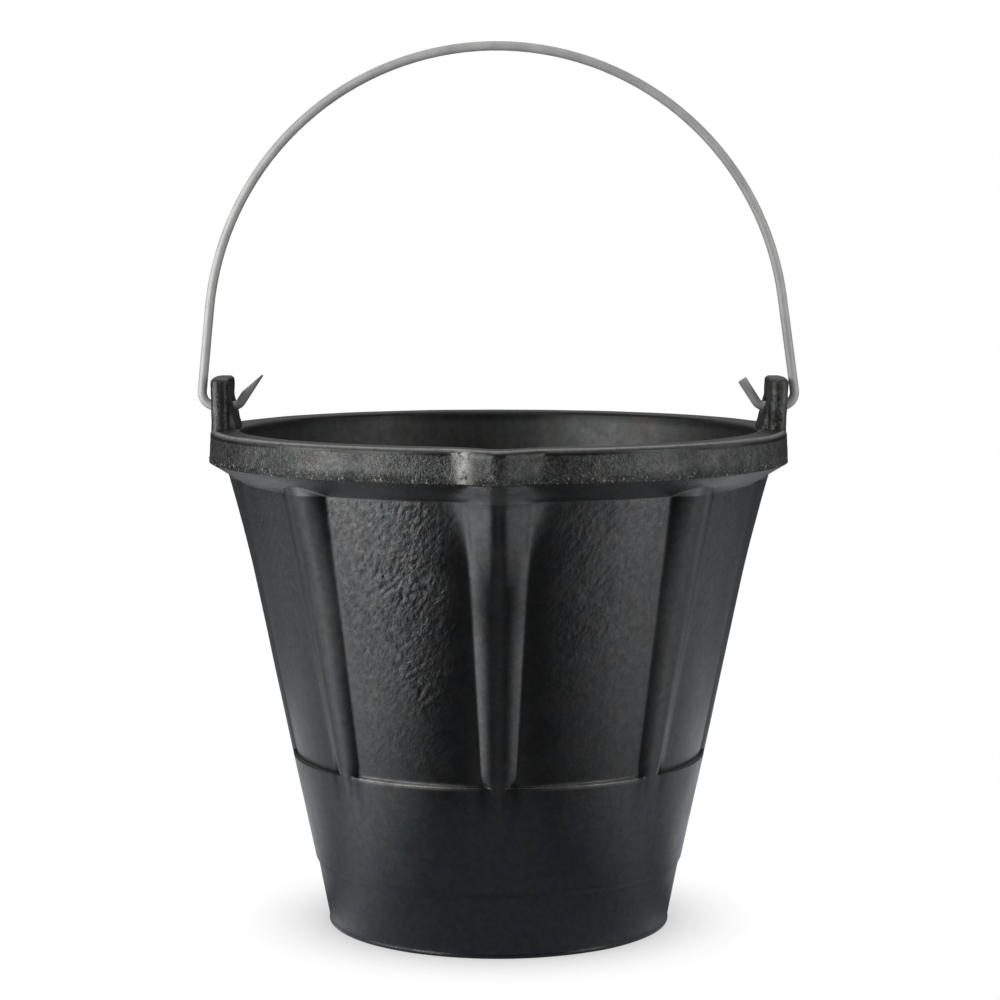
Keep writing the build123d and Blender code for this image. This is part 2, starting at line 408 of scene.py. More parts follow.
paintedLightAndShade = {
    # painted shade and sheen: how much duller the rubber is in each place or, below 0, how much shinier
    "rim": (
        # degrees round from the spout, spread and strength
        (-68, 15, 1.5), (-38, 9, -0.7), (-15, 6, 0.8), (-3.8, 3, 0.9),
        (4, 2.5, -0.8), (13, 4, 1.1), (32, 8, -0.3),
    ),
    "inside": (138, 26, -1.5),
    "mouth": 1.2,
    "underCrest": 2.0,
    "underRim": -1.6,
    "ribSides": (0.8, 1.5),  # those that face the spout, at the band and under the rim
    "frontFlanks": -1.3,
    "besideFrontRib": 0.9,
    "frontPanels": ((0.12, 0.2, panelTop), (0.65, 0.2, -0.65)),  # heights and strengths
    "besideTails": 1.4,
    "footEdge": 1.0,
    # painted highlights in a pale tone: along the ledge's edge beside the front rib, and on the beak's left
    # facet
    "ledge": (0.8, 0.5),  # left and right of the front rib
    "beakHighlight": (-6.4, 1.5),  # degrees round from the spout's nose, and spread
}
wearAndPaintedLightPlaces = {
    # where the painted shade, sheen and highlights lie, and where the crest's pale band and the rim's face
    # begin
    # radians off the middle of a rib: where each kind starts or has its middle, and its length
    "ribSides": (-0.01, 0.055),
    "frontFlanks": (0.03, 0.03),
    "besideFrontRib": (0.15, 0.06),
    "frontPanels": (0.15, 0.1),
    "besideTails": (0.075, 0.032),
    "ledgeClear": (0.075, 0.02),
    "ledgeEnd": 0.05,
    "ledgeRise": (0.08, 0.3, 0.1),  # and the least share of it
    # the same in metres up, from the crest, the band's top or the foot's top
    "underCrest": (-0.0024, 0.001),
    "crest": (-0.0018, 0.0006),
    "mouth": (-0.0075, 0.003),
    "rimFace": (0.0033, 0.001),  # down from the crest
    "ledge": (-0.0003, 0.0013),
    "tails": (-0.026, 0.022),
    "footEdge": (0.0015, 0.0016),
    "flankTop": 0.02,  # down from the lower end of the spout
    "wallStart": 0.001,
    # steps between kinds
    "onRib": (0.0004, 0.3),  # metres out from the panel that make a share of 1, and the share taken off
    "crestShare": 0.3,  # of the wear under the crest, from which it hides the rim's own
    "mouthShare": 0.5,  # of the inside's tone that the mouth loses
}


def noiseOver(spots, size, octaves=3, hard=False):
    places = (spots / size + surfaceRelief["seed"]).reshape(-1, 3).tolist()
    values = [noise.turbulence(place, octaves, hard) for place in places]
    return np.array(values).reshape(spots.shape[:-1])


def crinkleShare(turn, radius, z):
    # creases on the panels, clear of the ribs and the ledge
    relief = surfaceRelief
    share, climb = relief["crinkleClimb"]
    lift, rise = relief["crinkleLedge"]
    onPanel = np.clip(share - (radius - panelRadius(z)) / climb, 0, 1)
    onPanel = onPanel * ramp(z, bucketBody["bandTop"] + lift, rise)
    onPanel = onPanel * ramp(panelTop - z, 0, relief["crinkleTop"])
    panel = np.floor((turn % (2 * math.pi)) / ribPitch).astype(int) % outerRibs["count"]
    strength = np.array(relief["panelCrinkle"])[panel]
    start, length, least = relief["crinkleRise"]
    strength = strength * np.clip((z - start) / length, least, 1)
    strength = strength * ramp(ribFold(turn), *relief["crinkleEdge"])
    return onPanel * strength * ramp(np.abs(turn), *relief["crinkleFront"])


def paintedLedgeHighlight(turn, z):
    # painted highlight along the ledge of the two front panels, clear of the ribs, brighter on the left
    aside, places = np.abs(turn), wearAndPaintedLightPlaces
    start, length, least = places["ledgeRise"]
    lift, width = places["ledge"]
    painted = np.where(turn < 0, *paintedLightAndShade["ledge"]) * ramp(ribPitch - aside, 0, places["ledgeEnd"])
    painted = painted * ramp(ribFold(turn), *places["ledgeClear"]) * np.clip((aside - start) / length, least, 1)
    return painted * bump(z, bucketBody["bandTop"] + lift, width)


def rimPaintedSheenAndShade(turn, z):
    # painted shade under the crest, and painted sheen and shade in zones round the rim
    lift, height = wearAndPaintedLightPlaces["underCrest"]
    underCrest = paintedLightAndShade["underCrest"] * bump(z, bucketBody["height"] + lift, height)
    rimZones = sum(depth * bump(np.degrees(turn), at, width) for at, width, depth in paintedLightAndShade["rim"])
    return np.where(underCrest > wearAndPaintedLightPlaces["crestShare"], underCrest, rimZones)


def wallPaintedShadeAndSheen(turn, radius, z):
    painted, places, ledge = paintedLightAndShade, wearAndPaintedLightPlaces, bucketBody["bandTop"]
    fold, aside = ribFold(turn), np.abs(turn)
    depth, taken = places["onRib"]
    onRib = np.clip((radius - panelRadius(z)) / depth - taken, 0, 1)

    # painted shade on the sides of the ribs that face the spout, and on the front rib painted sheen on both
    # flanks and painted shade on the panels beside it; on the front panels painted shade low down and painted
    # sheen high up
    facing = gradeUp(z, painted["ribSides"]) * onRib * ramp(-pastRib(turn), *places["ribSides"])
    flank = painted["frontFlanks"] * onRib * ramp(fold, *places["frontFlanks"])
    flank = flank * ramp(spoutEnd - z, 0, places["flankTop"])
    hollow = painted["besideFrontRib"] * (1 - onRib) * bump(fold, *places["besideFrontRib"])
    fading = np.interp(z, *painted["frontPanels"]) * (1 - onRib) * ramp(aside, *places["frontPanels"])
    wall = np.where(aside < ribPitch / 2, hollow + flank, facing) + fading * (aside < ribPitch)
    wallStart = ledge + places["wallStart"]
    wall = wall * (z > wallStart) * (z < panelTop)

    # painted shade beside the tails of the front ribs, painted sheen under the rim and painted shade along
    # the foot's top edge
    lift, rise = places["tails"]
    tails = painted["besideTails"] * bump(fold, *places["besideTails"]) * ramp(z, ledge + lift, rise)
    tails = tails * (aside < frontTurn) * (z < wallStart)
    underRim = painted["underRim"] * (z >= panelTop) * (z < rimBottom)
    lift, width = places["footEdge"]
    footEdge = painted["footEdge"] * bump(z, bucketBody["footHeight"] + lift, width)
    return wall + tails + underRim + footEdge


def surfaceMasks(turn, radius, z, outside):
    # where each kind of surface lies
    onRim = outside & (z > rimBottom)
    down, fade = wearAndPaintedLightPlaces["rimFace"]

    def fromCrest(name):
        lift, rise = wearAndPaintedLightPlaces[name]
        return ramp(z, bucketBody["height"] + lift, rise)

    mouth = fromCrest("mouth")
    # painted shade and sheen: at the mouth and on the inside wall towards the back right, and over the rim
    # and walls outside
    at, width, depth = paintedLightAndShade["inside"]
    insidePaintedShadeAndSheen = paintedLightAndShade["mouth"] * mouth + depth * (1 - mouth) * bump(np.degrees(turn), at, width)
    outsidePaintedShadeAndSheen = np.where(onRim, rimPaintedSheenAndShade(turn, z), wallPaintedShadeAndSheen(turn, radius, z))
    flash = bump(z, rimBottom + surfaceRelief["flashWidth"] / 2, surfaceRelief["flashWidth"])
    # the crest's pale band, partly wear and partly painted highlight, and the painted highlight along the
    # ledge
    crest = np.maximum(fromCrest("crest"), paintedLedgeHighlight(turn, z))
    return {
        "crinkle": np.where(outside, crinkleShare(turn, radius, z), 0),
        "rimFace": np.where(onRim, ramp(bucketBody["height"] - down - z, 0, fade), 0),
        "flash": np.where(outside, flash, 0),
        "crest": np.where(outside, crest, 0),
        # painted highlight on the beak's left facet
        "beakHighlight": np.where(onRim, bump(np.degrees(turn), *paintedLightAndShade["beakHighlight"]), 0),
        "shadeAndSheen": np.where(outside, outsidePaintedShadeAndSheen, insidePaintedShadeAndSheen),
        "inner": np.where(outside, 0, 1 - wearAndPaintedLightPlaces["mouthShare"] * mouth),
    }


def gridNormals(spots):
    around = np.roll(spots, -1, axis=1) - np.roll(spots, 1, axis=1)
    along = np.gradient(spots, axis=0)
    normals = np.cross(around, along)
    return normals / np.maximum(np.linalg.norm(normals, axis=-1, keepdims=True), 1e-12)


def makeBucket():
    turn, radius, z, outside = bucketRows()
    spots = np.stack([radius * np.sin(turn), -radius * np.cos(turn), z], axis=-1)
    masks = surfaceMasks(turn, radius, z, outside)
    relief = surfaceRelief
    faint = 0.02  # rows with no more than this of a mask are left alone
    rows = masks["crinkle"].max(axis=1) > faint
    share, gain, lowEnd = relief["patchLevels"]
    patches = share + gain * (noiseOver(spots[rows], relief["patchSize"], 2) - lowEnd)
    masks["crinkle"][rows] *= np.clip(patches, *relief["patchRange"])

    # the wall rolled out flat, on which the creases lean to the right as they rise
    sheet = np.stack([turn * relief["rolledRadius"], z, np.zeros_like(z)], axis=-1)
    lean = math.radians(relief["crinkleLean"])
    across = (sheet[..., 0] * math.cos(lean) - z * math.sin(lean)) / relief["crinkleSize"][0]
    along = (sheet[..., 0] * math.sin(lean) + z * math.cos(lean)) / relief["crinkleSize"][1]
    creased = np.stack([across, along, np.zeros_like(z)], axis=-1)
    wander, wanderSize = relief["crinkleWarp"]
    creased[rows] += wander * noiseOver(creased[rows], wanderSize, 2)[..., None]

    def creases(rows):
        return 1 - 2 * noiseOver(creased[rows], 1.0, 3, True)

    def pits(rows):
        return noiseOver(spots[rows], relief["rimSize"], 3) - 0.5

    def crumbs(rows):
        return np.clip(2 * noiseOver(spots[rows], relief["flashSize"], 2) - relief["flashCut"], 0, 2)

    lumps = noiseOver(spots, relief["lumpSize"], 2)
    push = (relief["lumpShare"] + masks["crinkle"]) * relief["lumpDepth"] * (lumps - 0.5)
    layers = [
        ("crinkle", relief["crinkleDepth"], creases),
        ("rimFace", relief["rimDepth"], pits),
        ("flash", relief["flashDepth"], crumbs),
    ]
    for name, depth, field in layers:
        rows = masks[name].max(axis=1) > faint
        push[rows] += masks[name][rows] * depth * field(rows)
    spots = spots + gridNormals(spots) * push[..., None]

    piece = closedGrid("bucketBody", spots)
    for name, mask in masks.items():
        layer = piece.data.attributes.new(name, "FLOAT", "POINT")
        layer.data.foreach_set("value", mask.astype(np.float32).ravel())
    layer = piece.data.attributes.new("sheet", "FLOAT_VECTOR", "POINT")
    layer.data.foreach_set("vector", sheet.astype(np.float32).ravel())
    return piece


bucket = makeBucket()
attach(bucket, "bucket")
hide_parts("bucket")
print("bucket body:", len(bucket.data.polygons), "faces")


# ears

earPiece = {
    "innerRadius": 0.1583,
    "innerSlack": 0.0002,  # within which a point counts as on the inner face
    "cutAbove": 0.0002,  # over the crest of the rim
    "letIn": 0.007,
    "meshStep": 0.0009,
    "buttressCore": 0.007,  # half width round the hole that is left alone
    "buttressSide": 0.0135,  # half width of all of it
    "buttressTop": 0.0262,  # over the crest of the rim
    "buttressSpread": 2.2,  # how far the rest of the buttress is drawn out sideways
    "lean": (0.5, 2.5),  # degrees outwards, left and right, as they have warped
    "lumpDepth": 0.0003,
    "lumpSize": 0.007,
    "chalkAndPaintedLight": (0.5, 0.85),  # left and right; the right one paler as painted light from that side
}


def spreadButtress(shape):
    core, inner, slack = earPiece["buttressCore"], earPiece["innerRadius"], earPiece["innerSlack"]
    top = bucketBody["height"] + earPiece["buttressTop"]
    for vert in shape.verts:
        x, y, z = vert.co
        out = math.hypot(x, y)
        if out < inner + slack and core < abs(y) < earPiece["buttressSide"] and z < top:
            wide = core + (abs(y) - core) * earPiece["buttressSpread"]
            vert.co.y = math.copysign(wide, y)
            if out > inner - slack:
                vert.co.x = math.copysign(math.sqrt(inner**2 - wide**2), x)


def weatherEar(piece, lean, chalkAndPaintedLight):
    mesh = piece.data
    spots, normals = np.empty((2, len(mesh.vertices) * 3))
    mesh.vertices.foreach_get("co", spots)
    mesh.vertices.foreach_get("normal", normals)
    spots, normals = spots.reshape(-1, 3), normals.reshape(-1, 3)
    lumps = noiseOver(spots, earPiece["lumpSize"], 3) - 0.5
    above = np.maximum(spots[:, 2] - bucketBody["height"], 0)
    spots = spots + normals * lumps[:, None] * earPiece["lumpDepth"]
    spots[:, 0] += np.sign(spots[:, 0]) * math.tan(math.radians(lean)) * above
    mesh.vertices.foreach_set("co", spots.ravel())
    # the rim's chalky finish on the ears, heavier on the right ear as painted light from that side
    layer = mesh.attributes.new("rimFace", "FLOAT", "POINT")  # the ears have the finish of the rim's face
    layer.data.foreach_set("value", np.full(len(mesh.vertices), chalkAndPaintedLight, np.float32))
    mesh.update()


def cutEar(side):
    # the moulded ear, taken from the frame above the rim and let into the crest
    shape = bmesh.new()
    shape.from_mesh(frame["nodes"]["bucket"].data)
    bmesh.ops.remove_doubles(shape, verts=shape.verts, dist=1e-6)
    spreadButtress(shape)
    cuts = [((0, 0, bucketBody["height"] + earPiece["cutAbove"]), (0, 0, 1)), ((0, 0, 0), (side, 0, 0))]
    for place, normal in cuts:
        everything = shape.verts[:] + shape.edges[:] + shape.faces[:]
        bmesh.ops.bisect_plane(shape, geom=everything, plane_co=place, plane_no=normal, clear_inner=True)
    rim = [edge for edge in shape.edges if edge.is_boundary]
    grown = bmesh.ops.extrude_edge_only(shape, edges=rim)["geom"]
    lower = [item for item in grown if isinstance(item, bmesh.types.BMVert)]
    bmesh.ops.translate(shape, verts=lower, vec=(0, 0, -earPiece["letIn"]))
    bmesh.ops.holes_fill(shape, edges=[edge for edge in shape.edges if edge.is_boundary], sides=0)
    bmesh.ops.recalc_face_normals(shape, faces=shape.faces)
    return shape


def makeEar(name, side, lean, chalkAndPaintedLight):
    shape = cutEar(side)
    mesh = bpy.data.meshes.new(name)
    shape.to_mesh(mesh)
    shape.free()
    piece = bpy.data.objects.new(name, mesh)
    bpy.context.scene.collection.objects.link(piece)
    remesh = piece.modifiers.new("evenMesh", "REMESH")
    remesh.mode = "VOXEL"
    remesh.voxel_size = earPiece["meshStep"]
    remesh.use_smooth_shade = True
    smooth = piece.modifiers.new("mouldedEdges", "SMOOTH")
    smooth.iterations = 3
    smooth.factor = 0.5
    shaped = bpy.data.meshes.new_from_object(piece.evaluated_get(bpy.context.evaluated_depsgraph_get()))
    piece.modifiers.clear()
    piece.data = shaped
    bpy.data.meshes.remove(mesh)
    weatherEar(piece, lean, chalkAndPaintedLight)
    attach(piece, "bucket")
    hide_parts("bucket")
    return piece


sides = zip(("earLeft", "earRight"), (-1, 1), earPiece["lean"], earPiece["chalkAndPaintedLight"])
ears = [makeEar(*side) for side in sides]
print("ears:", len(ears))


# finishes

rubberFinish = {
    "dark": (0.0018, 0.0019, 0.0021, 1),
    "light": (0.0045, 0.0046, 0.0048, 1),
    "warm": (0.008, 0.0062, 0.005, 1),
    "warmShare": 0.15,
    "bandBlue": (0.0035, 0.0052, 0.0085, 1),  # a little blue on the band
    "bandBlueEdge": 0.08,  # height from which it fades
    "bandBlueShare": 0.8,
    "inside": (0.0115, 0.011, 0.0104, 1),
    "insideCover": (0.2, 1.0),  # between its streaks and on them
    "streakStretch": (1.0, 0.1, 1.0),
    "chalky": (0.05, 0.05, 0.048, 1),
    # pale tone of the crest, partly wear and partly painted highlight, also used for the painted highlight
    # along the ledge
    "crest": (0.15, 0.15, 0.144, 1),
    "crestCover": (0.5, 1.0),
    # pale tone of the flash's crumbs and of the painted highlight on the beak's left facet
    "paleWearAndHighlight": (0.26, 0.26, 0.245, 1),
    "rimCrumbs": 0.15,  # share of the flash's crumbs on the rest of the rim
    "specular": (0.42, 0.57),
    "rimPatchy": (-0.45, 0.5),  # how unevenly the rim and the creases shine
    "creasePatchy": (-0.4, 0.4),
    "flashDull": 0.45,
    "paintedShadeStep": 0.35,  # for each step of the painted shade and sheen by place
    "sheenTints": ((0.93, 0.985, 1.0, 1), (1.0, 0.975, 0.94, 1)),
    "roughness": (0.25, 0.36),
    "rimRoughness": 0.06,  # more than elsewhere
    "insideRoughness": 0.16,
}
rubberGrain = {
    # scale, detail and roughness of each noise, and the values between which it comes up
    "cloudyTone": (45.0, 5.0, 0.6, 0.35, 0.7),
    "cloudyGloss": (45.0, 5.0, 0.6, 0.2, 0.8),
    "warmth": (30.0, 4.0, 0.5, 0.5, 0.75),
    "streaks": (170.0, 5.0, 0.65, 0.3, 0.7),
    "chalk": (420.0, 4.0, 0.7, 0.34, 0.76),
    "specks": (650.0, 2.0, 0.6, 0.58, 0.72),
    "beakHighlightSpecks": (260.0, 3.0, 0.7, 0.3, 0.5),
    "crestWearAndHighlight": (240.0, 3.0, 0.5, 0.2, 0.6),
    "shine": (230.0, 4.0, 0.65, 0.3, 0.7),
    "rimPatches": (36.0, 4.0, 0.65, 0.34, 0.66),
    "creasePatches": (330.0, 4.0, 0.65, 0.3, 0.7),
    "tints": (70.0, 2.0, 0.5, 0.38, 0.62),
    "creases": (430.0, 3.0, 0.6),
    "pits": (700.0, 3.0, 0.6),
    "grain": (1400.0, 3.0, 0.5),
}
rubberBump = {
    "creases": 0.0008,
    "rimPits": 0.0005,
    "flashPits": 0.0008,
    "pits": 0.00006,
    "grain": 0.00004,
    "stretch": (1.0, 1.5, 1.0),  # of the fine creases, along their lean
}
wireFinish = {
    "dark": (0.31, 0.314, 0.31, 1),
    "light": (0.39, 0.39, 0.382, 1),
    "metallic": 0.25,
    "roughness": (0.5, 0.6),
    "spangleScale": 90.0,
    "spangleEdges": (0.3, 0.7),
    "glossEdges": (0.2, 0.8),
    "spangleDepth": 0.00002,
}


def nodeTools(tree):
    def add(kind, **values):
        node = tree.nodes.new(kind)
        for key, value in values.items():
            if key in node.inputs:
                node.inputs[key].default_value = value
            else:
                setattr(node, key, value)
        return node

    def link(source, target):
        tree.links.new(source, target)

    def join(operation, first, second):
        node = add("ShaderNodeMath", operation=operation)
        for socket, value in zip(node.inputs, (first, second)):
            if isinstance(value, (int, float)):
                socket.default_value = value
            else:
                link(value, socket)
        return node.outputs[0]

    def times(first, *others):
        for other in others:
            first = join("MULTIPLY", first, other)
        return first

    def spread(source, start, end, low=0.0, high=1.0):
        node = add("ShaderNodeMapRange", interpolation_type="SMOOTHSTEP")
        for name, value in (("From Min", start), ("From Max", end), ("To Min", low), ("To Max", high)):
            node.inputs[name].default_value = value
        link(source, node.inputs["Value"])
        return node.outputs["Result"]

    return add, link, join, times, spread


def newMaterial(name):
    material = bpy.data.materials.new(name)
    material.use_nodes = True
    return material, material.node_tree.nodes["Principled BSDF"], *nodeTools(material.node_tree)


def rubberMaterial():
    material, shader, add, link, join, times, spread = newMaterial("blackRubber")
    finish, depth = rubberFinish, rubberBump
    place = add("ShaderNodeTexCoord").outputs["Object"]
    parts = add("ShaderNodeSeparateXYZ")
    link(place, parts.inputs[0])

    def field(name, source=place):
        scale, detail, roughness = rubberGrain[name][:3]
        node = add("ShaderNodeTexNoise", Scale=scale, Detail=detail, Roughness=roughness)
        link(source, node.inputs["Vector"])
        return node.outputs["Fac"]

    def patches(name, low=0.0, high=1.0, source=place):
        return spread(field(name, source), *rubberGrain[name][3:], low, high)

    def blend(factor, first, second):
        node = add("ShaderNodeMix", data_type="RGBA")
        link(factor, node.inputs["Factor"])
        for socket, value in ((node.inputs[6], first), (node.inputs[7], second)):
            if isinstance(value, tuple):
                socket.default_value = value
            else:
                link(value, socket)
        return node.outputs[2]

    names = ("crinkle", "rimFace", "flash", "crest", "beakHighlight", "shadeAndSheen", "inner")
    masks = [add("ShaderNodeAttribute", attribute_name=name).outputs["Fac"] for name in names]
    crinkle, rimFace, flash, crest, beakHighlight, shadeAndSheen, inner = masks

    # the wall rolled out flat, once turned along its creases and once drawn out into upright streaks
    sheet = add("ShaderNodeAttribute", attribute_name="sheet").outputs["Vector"]
    turned = add("ShaderNodeMapping", vector_type="TEXTURE")
    turned.inputs["Rotation"].default_value = (0, 0, -math.radians(surfaceRelief["crinkleLean"]))
    turned.inputs["Scale"].default_value = depth["stretch"]
    link(sheet, turned.inputs["Vector"])
    alongCreases = turned.outputs["Vector"]
    upright = add("ShaderNodeVectorMath", operation="MULTIPLY")
    upright.inputs[1].default_value = finish["streakStretch"]
    link(sheet, upright.inputs[0])

    # tone: cloudy black, bluer on the band, with pale crumbs on the moulding flash and a painted highlight on
    # the beak's left facet
    tone = blend(patches("cloudyTone"), finish["dark"], finish["light"])
    tone = blend(times(patches("warmth"), finish["warmShare"]), tone, finish["warm"])
    onBand = spread(parts.outputs["Z"], finish["bandBlueEdge"], bucketBody["bandTop"], finish["bandBlueShare"], 0.0)
    tone = blend(onBand, tone, finish["bandBlue"])
    streaks = patches("streaks", *finish["insideCover"], upright.outputs["Vector"])
    tone = blend(times(inner, streaks), tone, finish["inside"])
    tone = blend(times(rimFace, patches("chalk")), tone, finish["chalky"])
    crumbs = times(patches("specks"), join("MAXIMUM", flash, times(rimFace, finish["rimCrumbs"])))
    beakHighlightSpecks = times(patches("beakHighlightSpecks"), beakHighlight)
    tone = blend(join("MAXIMUM", crumbs, beakHighlightSpecks), tone, finish["paleWearAndHighlight"])
    # a pale crest that is partly wear and partly painted highlight, and the painted highlight along the ledge
    tone = blend(times(crest, patches("crestWearAndHighlight", *finish["crestCover"])), tone, finish["crest"])
    link(tone, shader.inputs["Base Color"])

    # sheen: blotchy, a little green in places and brown in others
    rough = join("ADD", patches("cloudyGloss", *finish["roughness"]), times(rimFace, finish["rimRoughness"]))
    rough = join("ADD", rough, times(inner, finish["insideRoughness"]))
    link(rough, shader.inputs["Roughness"])
    onCreases = times(crinkle, patches("creasePatches", *finish["creasePatchy"], alongCreases))
    uneven = join("ADD", times(rimFace, patches("rimPatches", *finish["rimPatchy"])), onCreases)
    # the flash's own dullness, and painted shade and sheen by place
    dulledAndShaded = join("ADD", times(flash, finish["flashDull"]), times(shadeAndSheen, finish["paintedShadeStep"]))
    shine = times(patches("shine", *finish["specular"]), join("ADD", 1.0, uneven))
    link(times(shine, join("SUBTRACT", 1.0, dulledAndShaded)), shader.inputs["Specular IOR Level"])
    link(blend(patches("tints"), *finish["sheenTints"]), shader.inputs["Specular Tint"])

    # creases finer than the mesh, and a fine grain all over
    creases = times(field("creases", alongCreases), crinkle, depth["creases"])
    roughCast = join("ADD", times(rimFace, depth["rimPits"]), times(flash, depth["flashPits"]))
    pits = times(field("pits"), join("ADD", roughCast, depth["pits"]))
    height = join("ADD", join("ADD", creases, pits), times(field("grain"), depth["grain"]))
    relief = add("ShaderNodeBump", Strength=1.0, Distance=1.0)
    link(height, relief.inputs["Height"])
    link(relief.outputs["Normal"], shader.inputs["Normal"])
    return material


def wireMaterial():
    material, shader, add, link, join, times, spread = newMaterial("galvanisedWire")
    shader.inputs["Metallic"].default_value = wireFinish["metallic"]
    spangle = add("ShaderNodeTexNoise", Scale=wireFinish["spangleScale"], Detail=3.0, Roughness=0.5)
    link(add("ShaderNodeTexCoord").outputs["Object"], spangle.inputs["Vector"])
    tone = add("ShaderNodeValToRGB")
    for element, place, name in zip(tone.color_ramp.elements, wireFinish["spangleEdges"], ("dark", "light")):
        element.position = place
        element.color = wireFinish[name]
    link(spangle.outputs["Fac"], tone.inputs["Fac"])
    link(tone.outputs["Color"], shader.inputs["Base Color"])
    gloss = spread(spangle.outputs["Fac"], *wireFinish["glossEdges"], *wireFinish["roughness"])
    link(gloss, shader.inputs["Roughness"])
    relief = add("ShaderNodeBump", Strength=1.0, Distance=wireFinish["spangleDepth"])
    link(spangle.outputs["Fac"], relief.inputs["Height"])
    link(relief.outputs["Normal"], shader.inputs["Normal"])
    return material


rubber = rubberMaterial()
for piece in [bucket, *ears]:
    piece.data.materials.append(rubber)
bail = frame["nodes"]["bail"]
bail.data.materials.clear()
bail.data.materials.append(wireMaterial())
print("finishes set")


# studio

studio = {
    "cameraPlace": (0.0, -1.5964, 0.4039),
    "cameraTilt": 5.5,  # degrees down
    "lens": 97.54,
    "sensor": 36.0,
    "shift": 0.0013,
    "farthest": 50,
    "floorSize": 8.0,
    "floorTone": (0.12, 0.12, 0.12, 1),
    "shadowReach": 0.08,
    "shadowEdges": (0.0, 0.9),
    "shadowTone": (0.3, 1.0),  # right beside the foot and clear of it
    "ambient": 0.32,
    "lampAim": (0, 0, 0.25),
}
mirrored = {
    # what shows in reflections: a white sheet behind, a floor lit at the sides and behind, a dim room
    "sheetSheen": 0.12,
    "sheetEdge": (0.5, 1.2),  # metres back over which it comes up on the floor
    "sheetRise": (0.985, 0.999),  # how squarely a ray has to face the back to meet it hanging
    "glowTint": (0.962, 0.993, 1.032, 1),
    "glowNear": 0.2,  # share of the glow beside the foot
    # each glow's strength, and the degrees from the front and metres out over which it comes and goes
    "sideGlow": (3.5, 1.85),  # left and right
    "sideTurn": ((20, 72), (12, 72)),
    "sideFall": (66, 100),
    "sideReach": (0.09, 0.5),
    "sideEnd": (0.8, 1.3),
    "backGlow": 0.74,
    "backTurn": (76, 114),
    "backReach": (0.08, 0.24),
    "backEnd": (1.0, 1.9),
    "backFade": 0.72,  # share that it loses right at the back
    "fadeTurn": (104, 140),
    "fadeReach": (0.38, 0.75),
    "frontGlow": 0.34,
    "frontAside": (0.04, 0.13),
    "frontFall": (60, 90),
    # the room's levels, and the parts of a ray's direction between which they come up
    "roomLow": 0.012,
    "roomOver": 0.13,
    "overRise": (0.1, 0.8),
    "backWall": 0.5,
    "backWallRise": (0.1, 0.35),
    "backWallTurn": (0.3, 0.7),
    "leftWall": 1.1,
    "leftWallRise": (0.09, 0.23),
    "leftWallTurn": (-0.96, -0.86),
}
softBoxes = [
    # name, degrees round from the spout, distance, height, width, length, watts
    ("boxLeft", -46, 0.95, 0.42, 0.25, 0.8, 5.6),
    ("sideLeft", -75, 0.95, 0.42, 0.25, 0.8, 5.0),
    ("boxRight", 60, 0.95, 0.42, 0.25, 0.8, 3.4),
    ("sideRight", 92, 0.95, 0.42, 0.25, 0.8, 1.0),
    ("topFront", 0, 0.6, 1.7, 1.2, 0.8, 5.2),
    ("topBack", 180, 0.75, 1.9, 1.6, 1.2, 7.8),
]
plainWhite = (1, 1, 1, 1)


def rayKinds(add, join):
    # what the camera sees, and what shows in reflections and through glass
    ray = add("ShaderNodeLightPath")
    reflected = join("MAXIMUM", ray.outputs["Is Glossy Ray"], ray.outputs["Is Transmission Ray"])
    return ray.outputs["Is Camera Ray"], reflected


def floorGlow(place, add, link, join, times, spread):
    # the lit floor and the sheet that lies on it, as reflections see them
    parts = add("ShaderNodeSeparateXYZ")
    link(place, parts.inputs[0])
    length = add("ShaderNodeVectorMath", operation="LENGTH")
    link(place, length.inputs[0])
    out = length.outputs["Value"]
    turn = join("ARCTAN2", parts.outputs["X"], join("MULTIPLY", parts.outputs["Y"], -1.0))
    off = join("ABSOLUTE", turn, 0.0)

    def turned(source, pair, low, high):
        return spread(source, math.radians(pair[0]), math.radians(pair[1]), low, high)

    (left, right), (leftTurn, rightTurn) = mirrored["sideGlow"], mirrored["sideTurn"]
    leftSide = turned(join("MULTIPLY", turn, -1.0), leftTurn, 0.0, left)
    beside = times(
        join("ADD", leftSide, turned(turn, rightTurn, 0.0, right)),
        turned(off, mirrored["sideFall"], 1.0, 0.0),
        spread(out, *mirrored["sideReach"], mirrored["glowNear"], 1.0),
        spread(out, *mirrored["sideEnd"], 1.0, 0.0),
    )
    faded = turned(off, mirrored["fadeTurn"], 0.0, mirrored["backFade"])
    behind = times(
        turned(off, mirrored["backTurn"], 0.0, mirrored["backGlow"]),
        spread(out, *mirrored["backReach"], mirrored["glowNear"], 1.0),
        join("SUBTRACT", 1.0, times(faded, spread(out, *mirrored["fadeReach"]))),
        spread(out, *mirrored["backEnd"], 1.0, 0.0),
    )
    aside = join("ABSOLUTE", parts.outputs["X"], 0.0)
    before = times(
        spread(aside, *mirrored["frontAside"], mirrored["frontGlow"], 0.0),
        turned(off, mirrored["frontFall"], 1.0, 0.0),
    )
    sheet = spread(parts.outputs["Y"], *mirrored["sheetEdge"], 0.0, mirrored["sheetSheen"])
    return join("MAXIMUM", join("ADD", join("ADD", beside, behind), before), sheet)


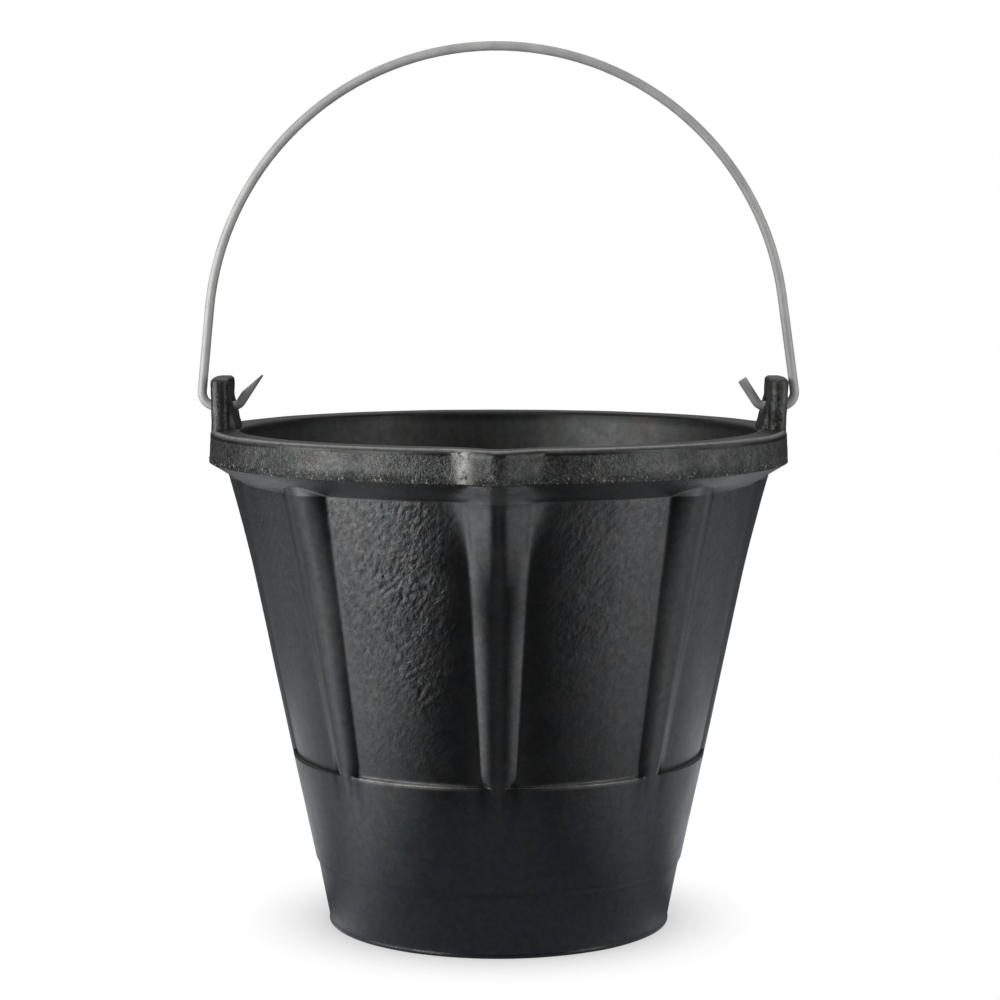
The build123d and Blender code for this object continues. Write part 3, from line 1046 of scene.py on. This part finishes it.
def floorMaterial():
    # the camera sees a white floor with the shade round the foot
    material, shader, *tools = newMaterial("paleFloor")
    add, link, join, times, spread = tools
    material.cycles.emission_sampling = "NONE"
    shader.inputs["Roughness"].default_value = 0.9
    shader.inputs["Specular IOR Level"].default_value = 0.0
    shader.inputs["Base Color"].default_value = studio["floorTone"]
    seen, reflected = rayKinds(add, join)
    glow = floorGlow(add("ShaderNodeTexCoord").outputs["Object"], *tools)
    shade = add("ShaderNodeAmbientOcclusion", samples=16, Distance=studio["shadowReach"])
    white = times(seen, spread(shade.outputs["AO"], *studio["shadowEdges"], *studio["shadowTone"]))
    light = add("ShaderNodeEmission")
    link(join("ADD", white, times(reflected, glow)), light.inputs["Strength"])
    tint = add("ShaderNodeMix", data_type="RGBA")
    link(seen, tint.inputs["Factor"])
    tint.inputs[6].default_value = mirrored["glowTint"]
    tint.inputs[7].default_value = plainWhite
    link(tint.outputs[2], light.inputs["Color"])
    mix = add("ShaderNodeMixShader")
    link(join("MAXIMUM", seen, reflected), mix.inputs[0])
    link(shader.outputs[0], mix.inputs[1])
    link(light.outputs[0], mix.inputs[2])
    link(mix.outputs[0], material.node_tree.nodes["Material Output"].inputs["Surface"])
    return material


def makeWorld():
    # the camera sees white, reflections see the hanging sheet and the room, and the rest is even light
    world = bpy.data.worlds.new("studioWorld")
    world.use_nodes = True
    add, link, join, times, spread = nodeTools(world.node_tree)
    parts = add("ShaderNodeSeparateXYZ")
    link(add("ShaderNodeTexCoord").outputs["Generated"], parts.inputs[0])
    across, back, up = (parts.outputs[axis] for axis in "XYZ")
    seen, reflected = rayKinds(add, join)
    sheet = spread(back, *mirrored["sheetRise"], 0.0, mirrored["sheetSheen"])
    behind = times(
        spread(up, *mirrored["backWallRise"]),
        spread(back, *mirrored["backWallTurn"], 0.0, mirrored["backWall"]),
    )
    beside = times(
        spread(up, *mirrored["leftWallRise"]),
        spread(across, *mirrored["leftWallTurn"], mirrored["leftWall"], 0.0),
    )
    room = spread(up, *mirrored["overRise"], mirrored["roomLow"], mirrored["roomOver"])
    room = join("ADD", room, join("MAXIMUM", behind, beside))
    level = join("ADD", times(reflected, join("SUBTRACT", room, studio["ambient"])), studio["ambient"])
    level = join("MAXIMUM", level, times(reflected, sheet))
    background = world.node_tree.nodes["Background"]
    background.inputs["Color"].default_value = plainWhite
    link(join("MAXIMUM", seen, level), background.inputs["Strength"])
    return world


def makeLamp(name, degrees, distance, height, width, length, watts):
    data = bpy.data.lights.new(name, "AREA")
    data.shape = "RECTANGLE"
    data.size = width
    data.size_y = length
    data.energy = watts
    lamp = bpy.data.objects.new(name, data)
    lamp.visible_camera = False
    turn = math.radians(degrees)
    lamp.location = (distance * math.sin(turn), -distance * math.cos(turn), height)
    aim = Vector(studio["lampAim"]) - lamp.location
    lamp.rotation_euler = aim.to_track_quat("-Z", "Y").to_euler()
    bpy.context.scene.collection.objects.link(lamp)


def makeCamera():
    data = bpy.data.cameras.new("photoCamera")
    data.lens = studio["lens"]
    data.sensor_width = studio["sensor"]
    data.shift_x = studio["shift"]
    data.clip_end = studio["farthest"]
    camera = bpy.data.objects.new("photoCamera", data)
    camera.location = studio["cameraPlace"]
    camera.rotation_euler = (math.radians(90 - studio["cameraTilt"]), 0, 0)
    bpy.context.scene.collection.objects.link(camera)
    return camera


def makeStudio():
    scene = bpy.context.scene
    bpy.ops.mesh.primitive_plane_add(size=studio["floorSize"])
    floor = bpy.context.object
    floor.name = "floor"
    floor.data.materials.append(floorMaterial())
    scene.world = makeWorld()
    for box in softBoxes:
        makeLamp(*box)
    scene.camera = makeCamera()
    scene.view_settings.view_transform = "Standard"


makeStudio()
print("studio ready")
